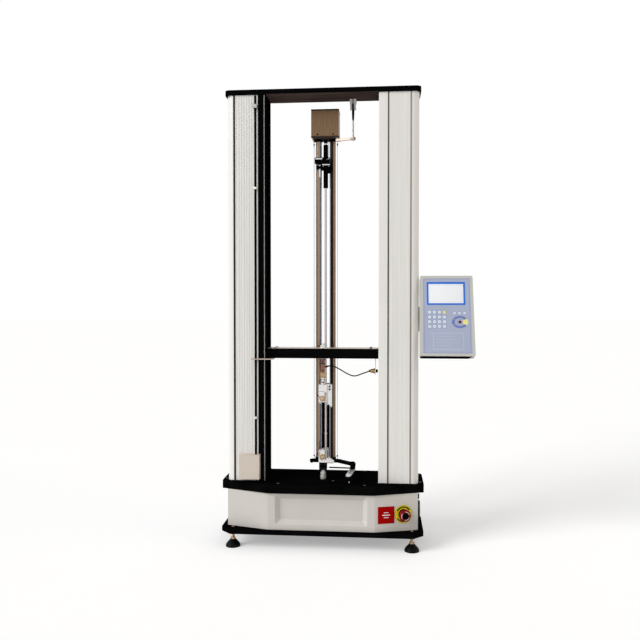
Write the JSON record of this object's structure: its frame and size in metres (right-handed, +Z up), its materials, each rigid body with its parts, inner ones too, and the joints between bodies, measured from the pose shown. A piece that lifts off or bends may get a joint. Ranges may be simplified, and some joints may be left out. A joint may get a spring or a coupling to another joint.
{
  "type": "universal testing machine",
  "caption": "Two-column tensile testing machine with a driven crosshead, load cell, roller grips, a swing-out extensometer, limit rod and a tilting console.",
  "frame": {"origin": "on the floor, under the load axis that runs through both grips", "axes": "+Z up along the load axis, +X to the machine's right side with the console, -Y to the front"},
  "size_m": [0.8149, 0.2331, 1.495],
  "materials": {
    "column_enamel": "satin off-white enamel",
    "cover_enamel": "fine textured off-white enamel",
    "black_enamel": "fine textured black enamel",
    "box_enamel": "cream enamel",
    "ribbed_panel": "fluted anodised strip, off-white",
    "black_plastic": "matte black moulding",
    "rubber_black": "matte rubber",
    "zinc": "zinc plated",
    "ground_steel": "ground and polished",
    "steel": "machined",
    "bronze": "machined bronze",
    "bare_sheet": "brushed sheet with warm reflections",
    "grip_nickel": "satin nickel plate",
    "roller_steel": "knurled, warm steel",
    "cell_metal": "reddish anodised",
    "cable_black": "black sheath",
    "console_plastic": "light grey-green moulding",
    "overlay": "pale blue-grey membrane",
    "red_plastic": "gloss red",
    "yellow_plastic": "bright yellow plate",
    "red_label": "red plate",
    "grey_belt": "toothed belt rubber"
  },
  "bodies": {
    "frame": {"bottom_plate": "black_enamel", "foot_pads": "rubber_black", "foot_stems": "zinc", "base_cover": "cover_enamel", "base_rear_cover": "cover_enamel", "table_plate": "black_enamel", "right_column_cover": "column_enamel", "left_column_cover": "column_enamel", "column_panels": "ribbed_panel", "column_strip": "black_plastic", "top_plate": "black_enamel", "guide_posts": "ground_steel", "top_bolts": "zinc", "screw_bearings": "steel", "timing_belt": "grey_belt", "drive_motor": "black_enamel", "motor_bracket": "steel", "upper_bellows": "rubber_black", "lower_bellows": "rubber_black", "limit_switch_box": "box_enamel", "limit_rod_guide": "steel", "lower_grip": "grip_nickel", "lower_grip_base": "black_enamel", "lower_adaptor": "ground_steel", "extensometer_hanger": "black_enamel", "pivot_rod": "steel", "lower_bracket": "black_enamel", "lower_bracket_plate": "grip_nickel", "console_bracket": "steel", "stop_legend": "yellow_plastic", "stop_switch_body": "black_plastic", "mark_plate": "red_label", "cable_sockets": "black_plastic"},
    "left_screw": {"left_screw": "ground_steel"},
    "right_screw": {"right_screw": "ground_steel"},
    "motor_pulley": {"motor_pulley": "steel"},
    "crosshead": {"crosshead_beam": "black_enamel", "guide_bushes": "bronze", "ball_nuts": "steel", "limit_finger": "steel", "load_cell": "cell_metal", "cell_fittings": "bronze", "load_cell_cable": "cable_black", "cable_connector": "bronze", "upper_grip": "grip_nickel"},
    "limit_rod": {"limit_rod": "ground_steel"},
    "upper_roller": {"upper_grip_roller": "roller_steel"},
    "lower_roller": {"lower_grip_roller": "roller_steel"},
    "extensometer": {"extensometer_box": "bare_sheet", "swing_arm": "steel", "guide_tubes": "ground_steel", "centre_rod": "ground_steel", "bottom_bar": "black_enamel"},
    "upper_carriage": {"upper_carriage": "black_plastic"},
    "lower_carriage": {"lower_carriage": "black_plastic"},
    "console_link": {"console_link": "steel"},
    "console": {"console_case": "console_plastic", "console_panel": "overlay", "console_back": "console_plastic"},
    "stop_button": {"stop_button": "red_plastic"}
  },
  "joints": [
    {"name": "crosshead_slide", "type": "slide", "parent": "frame", "child": "crosshead", "axis": [0, 0, 1], "range_m": [-0.125, 0.53], "deforming": ["upper_bellows", "lower_bellows"]},
    {"name": "left_screw_turn", "type": "hinge", "parent": "frame", "child": "left_screw", "pos_m": [-0.262, 0, 0.8], "axis": [0, 0, 1], "range_deg": [-19085, 4505]},
    {"name": "right_screw_turn", "type": "hinge", "parent": "frame", "child": "right_screw", "pos_m": [0.262, 0, 0.8], "axis": [0, 0, 1], "range_deg": [-19085, 4505]},
    {"name": "motor_turn", "type": "hinge", "parent": "frame", "child": "motor_pulley", "pos_m": [0, 0.055, 0.16], "axis": [0, 0, 1], "range_deg": [-38170, 9010]},
    {"name": "limit_rod_slide", "type": "slide", "parent": "frame", "child": "limit_rod", "axis": [0, 0, 1], "range_m": [-0.003, 0.003], "stiffness_N_per_m": 2000, "springref_m": 0.0014},
    {"name": "upper_roller_turn", "type": "hinge", "parent": "crosshead", "child": "upper_roller", "pos_m": [-0.002, 0, 0.48], "axis": [0, 1, 0], "range_deg": [-40, 0]},
    {"name": "lower_roller_turn", "type": "hinge", "parent": "frame", "child": "lower_roller", "pos_m": [-0.002, 0, 0.287], "axis": [0, 1, 0], "range_deg": [-40, 0]},
    {"name": "extensometer_swing", "type": "hinge", "parent": "frame", "child": "extensometer", "pos_m": [0.097, 0.036, 1.347], "axis": [0, 0, -1], "range_deg": [0, 90]},
    {"name": "upper_carriage_slide", "type": "slide", "parent": "extensometer", "child": "upper_carriage", "axis": [0, 0, 1], "range_m": [-0.4, 0]},
    {"name": "lower_carriage_slide", "type": "slide", "parent": "upper_carriage", "child": "lower_carriage", "axis": [0, 0, 1], "range_m": [-0.3, 0]},
    {"name": "console_swivel", "type": "hinge", "parent": "frame", "child": "console_link", "pos_m": [0.34, 0, 0.743], "axis": [0, 0, 1], "range_deg": [0, 75]},
    {"name": "console_tilt", "type": "hinge", "parent": "console_link", "child": "console", "pos_m": [0.34, -0.022, 0.743], "axis": [-1, 0, 0], "range_deg": [-15, 5]},
    {"name": "stop_press", "type": "slide", "parent": "frame", "child": "stop_button", "axis": [-0.2775, 0.9607, 0], "range_m": [0, 0.005]}
  ],
  "couplings": [
    {"joint": "left_screw_turn", "follows": "crosshead_slide", "rad_per_m": -628.32},
    {"joint": "right_screw_turn", "follows": "crosshead_slide", "rad_per_m": -628.32},
    {"joint": "motor_turn", "follows": "crosshead_slide", "rad_per_m": -1256.6}
  ]
}
